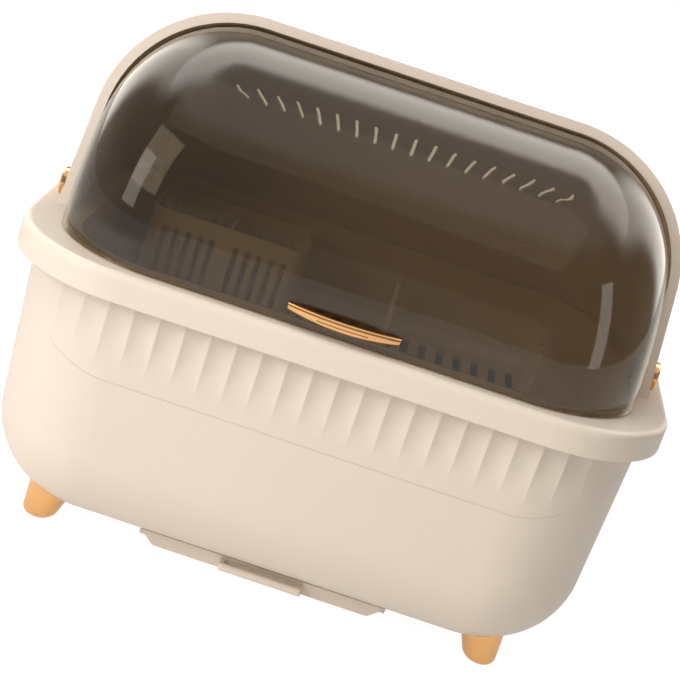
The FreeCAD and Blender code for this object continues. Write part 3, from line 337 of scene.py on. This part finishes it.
def makeSettledDust(settings):
    # A thin patchy film on what faces upwards.
    group, given, end = newGroup("settledDust", [
        ("Colour", "NodeSocketColor", (0.8, 0.8, 0.8, 1)),
        ("Film", "NodeSocketColor", (0.75, 0.70, 0.64, 1)),
        ("Amount", "NodeSocketFloat", 0.1),
        ("Scale", "NodeSocketFloat", 45.0),
    ], [("Colour", "NodeSocketColor"), ("Mask", "NodeSocketFloat")])
    shape = addNode(group, "ShaderNodeNewGeometry").outputs
    facing = addNode(group, "ShaderNodeSeparateXYZ", {0: shape["Normal"]})
    level = addNode(group, "ShaderNodeMapRange", {
        "Value": facing.outputs["Z"], "From Min": settings["dustLevel"][0],
        "From Max": settings["dustLevel"][1]})
    patches = addNode(group, "ShaderNodeTexNoise", {
        "Vector": shape["Position"], "Scale": given["Scale"], "Detail": settings["dustDetail"]})
    both = mathOf(group, "MULTIPLY", level.outputs["Result"], patches.outputs["Fac"])
    mask = mathOf(group, "MULTIPLY", both, given["Amount"])
    blend = addNode(group, "ShaderNodeMix", {
        "Factor": mask, "A": given["Colour"], "B": given["Film"]}, data_type="RGBA")
    feed(group, end, {"Colour": blend.outputs["Result"], "Mask": mask})
    return group


toneDrift = makeToneDrift(effectSettings)
mouldGrain = makeMouldGrain(effectSettings)
softEdges = makeSoftEdges(effectSettings)
settledDust = makeSettledDust(effectSettings)
print("effect groups built")


# Materials

def placeGroup(tree, group, values):
    return addNode(tree, "ShaderNodeGroup", values, node_tree=group)


def placeDrift(tree, settings):
    return placeGroup(tree, toneDrift, {
        "Colour": settings["colour"], "Deeper": settings["deeper"], "Amount": settings["drift"],
        "Scale": settings["driftScale"], "Gloss": settings["roughness"],
        "Gloss Spread": settings["roughnessSpread"]}).outputs


def startSurface(tree, settings):
    # What plastics and metals share: a drifting tone and gloss, soft edges and grain.
    drift = placeDrift(tree, settings)
    edges = placeGroup(tree, softEdges, {"Radius": settings["edge"]})
    grain = placeGroup(tree, mouldGrain, {
        "Scale": settings["grainScale"], "Waviness": settings["waviness"]})
    bump = addNode(tree, "ShaderNodeBump", {
        "Strength": settings["grain"], "Distance": settings["grainDepth"],
        "Height": grain.outputs["Height"], "Normal": edges.outputs["Normal"]})
    shader = addNode(tree, "ShaderNodeBsdfPrincipled", {
        "Roughness": drift["Roughness"], "Normal": bump.outputs["Normal"]})
    addNode(tree, "ShaderNodeOutputMaterial", {"Surface": shader.outputs[0]})
    return shader, drift["Colour"]


plasticSettings = {
    "colour": (0.79, 0.70, 0.605, 1),
    "deeper": (0.745, 0.65, 0.555, 1),
    "drift": 0.5,
    "driftScale": 7.0,
    "roughness": 0.38,
    "roughnessSpread": 0.08,
    "film": (0.86, 0.80, 0.73, 1),
    "dust": 0.10,
    "edge": 0.0007,
    "grain": 0.10,
    "grainScale": 1300.0,
    "grainDepth": 0.0004,
    "waviness": 0.5,
    "specular": 0.5,
}


def makePlastic(name, **changes):
    settings = {**plasticSettings, **changes}
    material, tree = startMaterial(name)
    shader, tone = startSurface(tree, settings)
    dust = placeGroup(tree, settledDust, {
        "Colour": tone, "Film": settings["film"], "Amount": settings["dust"]})
    feed(tree, shader, {"Base Color": dust.outputs["Colour"],
                        "Specular IOR Level": settings["specular"]})
    return material


creamPlastic = makePlastic("creamPlastic")
hoodPlastic = makePlastic("hoodPlastic", driftScale=5.0, grain=0.08)
# painted light: the tray's plastic is the cream plastic painted lighter, to make up for the shade
# it sits in under the tub
trayPaintedLitPlastic = makePlastic("trayPaintedLitPlastic", colour=(0.87, 0.77, 0.66, 1), roughness=0.34, edge=0.0004)
# painted light: the racks' plastic is the cream plastic painted lighter, to make up for the dim
# light under the smoked lid
basketPaintedLitPlastic = makePlastic(
    "basketPaintedLitPlastic", colour=(0.82, 0.74, 0.65, 1), deeper=(0.77, 0.69, 0.60, 1), roughness=0.42,
    edge=0.0004, dust=0.05)
greyPlastic = makePlastic(
    "greyPlastic", colour=(0.36, 0.33, 0.30, 1), deeper=(0.30, 0.275, 0.25, 1), roughness=0.45,
    edge=0.0003, dust=0.05)
whiteNylon = makePlastic(
    "whiteNylon", colour=(0.72, 0.70, 0.66, 1), deeper=(0.66, 0.64, 0.60, 1), roughness=0.36,
    edge=0.0002, dust=0.0)
darkRubber = makePlastic(
    "darkRubber", colour=(0.030, 0.027, 0.024, 1), deeper=(0.050, 0.045, 0.040, 1),
    roughness=0.72, edge=0.0003, grain=0.25, dust=0.12, specular=0.3)


metalSettings = {
    "drift": 0.5,
    "roughnessSpread": 0.08,
    "metallic": 1.0,
    "coat": 0.0,
    "coatRoughness": 0.08,
    "grainDepth": 0.0003,
    "waviness": 0.4,
}


def makeMetal(name, **changes):
    settings = {**metalSettings, **changes}
    material, tree = startMaterial(name)
    shader, tone = startSurface(tree, settings)
    feed(tree, shader, {"Base Color": tone, "Metallic": settings["metallic"],
                        "Coat Weight": settings["coat"],
                        "Coat Roughness": settings["coatRoughness"]})
    return material


polishedGold = makeMetal(
    "polishedGold", colour=(0.84, 0.48, 0.22, 1), deeper=(0.72, 0.37, 0.14, 1), driftScale=30.0,
    roughness=0.13, edge=0.0004, grain=0.02, grainScale=900.0, waviness=1.0)
satinGold = makeMetal(
    "satinGold", colour=(0.88, 0.48, 0.19, 1), deeper=(0.78, 0.39, 0.13, 1), driftScale=22.0,
    roughness=0.18, roughnessSpread=0.06, metallic=0.85, coat=0.5, edge=0.0006, grain=0.06,
    grainScale=1500.0)
screwSteel = makeMetal(
    "screwSteel", colour=(0.56, 0.55, 0.53, 1), deeper=(0.44, 0.43, 0.41, 1), drift=0.6,
    driftScale=120.0, roughness=0.30, roughnessSpread=0.15, edge=0.0002, grain=0.10,
    grainScale=2500.0)


smokedSettings = {
    "colour": (0.32, 0.262, 0.182, 1),      # what the wall lets through
    "deeper": (0.292, 0.237, 0.16, 1),
    "drift": 0.6,
    "driftScale": 5.0,
    "roughness": 0.02,
    "roughnessSpread": 0.02,
    "shade": (0.57, 0.515, 0.44, 1),        # what one of its faces lets through of the lamps' light
    "index": 1.49,
}


def makeSmokedClear(settings):
    material, tree = startMaterial("smokedClear")
    drift = placeDrift(tree, settings)
    glass = addNode(tree, "ShaderNodeBsdfPrincipled", {
        "Base Color": drift["Colour"], "Roughness": drift["Roughness"], "Metallic": 0.0,
        "Transmission Weight": 1.0, "IOR": settings["index"]})
    through = addNode(tree, "ShaderNodeBsdfTransparent", {"Color": settings["shade"]})
    path = addNode(tree, "ShaderNodeLightPath").outputs
    unseen = mathOf(tree, "MAXIMUM", path["Is Shadow Ray"], path["Is Diffuse Ray"])
    mix = mixShaders(tree, unseen, glass, through)
    addNode(tree, "ShaderNodeOutputMaterial", {"Surface": mix.outputs[0]})
    return material


smokedClear = makeSmokedClear(smokedSettings)
print("materials built")


# Finishes of the frame's own nodes

finishOf = {
    "tub": creamPlastic, "rim_frame": creamPlastic, "hood": hoodPlastic, "drip_tray": trayPaintedLitPlastic,
    "tray_runner_left": trayPaintedLitPlastic, "tray_runner_right": trayPaintedLitPlastic,
    "foot_front_left": satinGold, "foot_front_right": satinGold, "foot_back_left": satinGold,
    "foot_back_right": satinGold, "pivot_pin_left": polishedGold, "pivot_pin_right": polishedGold,
    "lid_handle": polishedGold, "lid": smokedClear, "foot_pads": darkRubber,
    "hood_pads": darkRubber, "lid_bumpers": darkRubber, "outlet_seal": darkRubber,
    "foot_screws": screwSteel, "runner_screws": screwSteel, "handle_screws": screwSteel,
    "drain_outlet": greyPlastic, "outlet_nut": greyPlastic, "sump_strainer": greyPlastic,
    "pivot_washer_left": whiteNylon, "pivot_washer_right": whiteNylon,
    "pivot_clip_left": screwSteel, "pivot_clip_right": screwSteel,
    "dish_basket": basketPaintedLitPlastic, "plate_rack": basketPaintedLitPlastic, "bowl_rack": basketPaintedLitPlastic,
    "cutlery_cage": basketPaintedLitPlastic,
}


def dressNode(name, material):
    piece = nodes[name]
    slots = piece.material_slots
    if len(slots) == 0:
        piece.data.materials.append(material)
    for slot in slots:
        slot.material = material


for nodeName, finish in finishOf.items():
    dressNode(nodeName, finish)
print("nodes dressed")
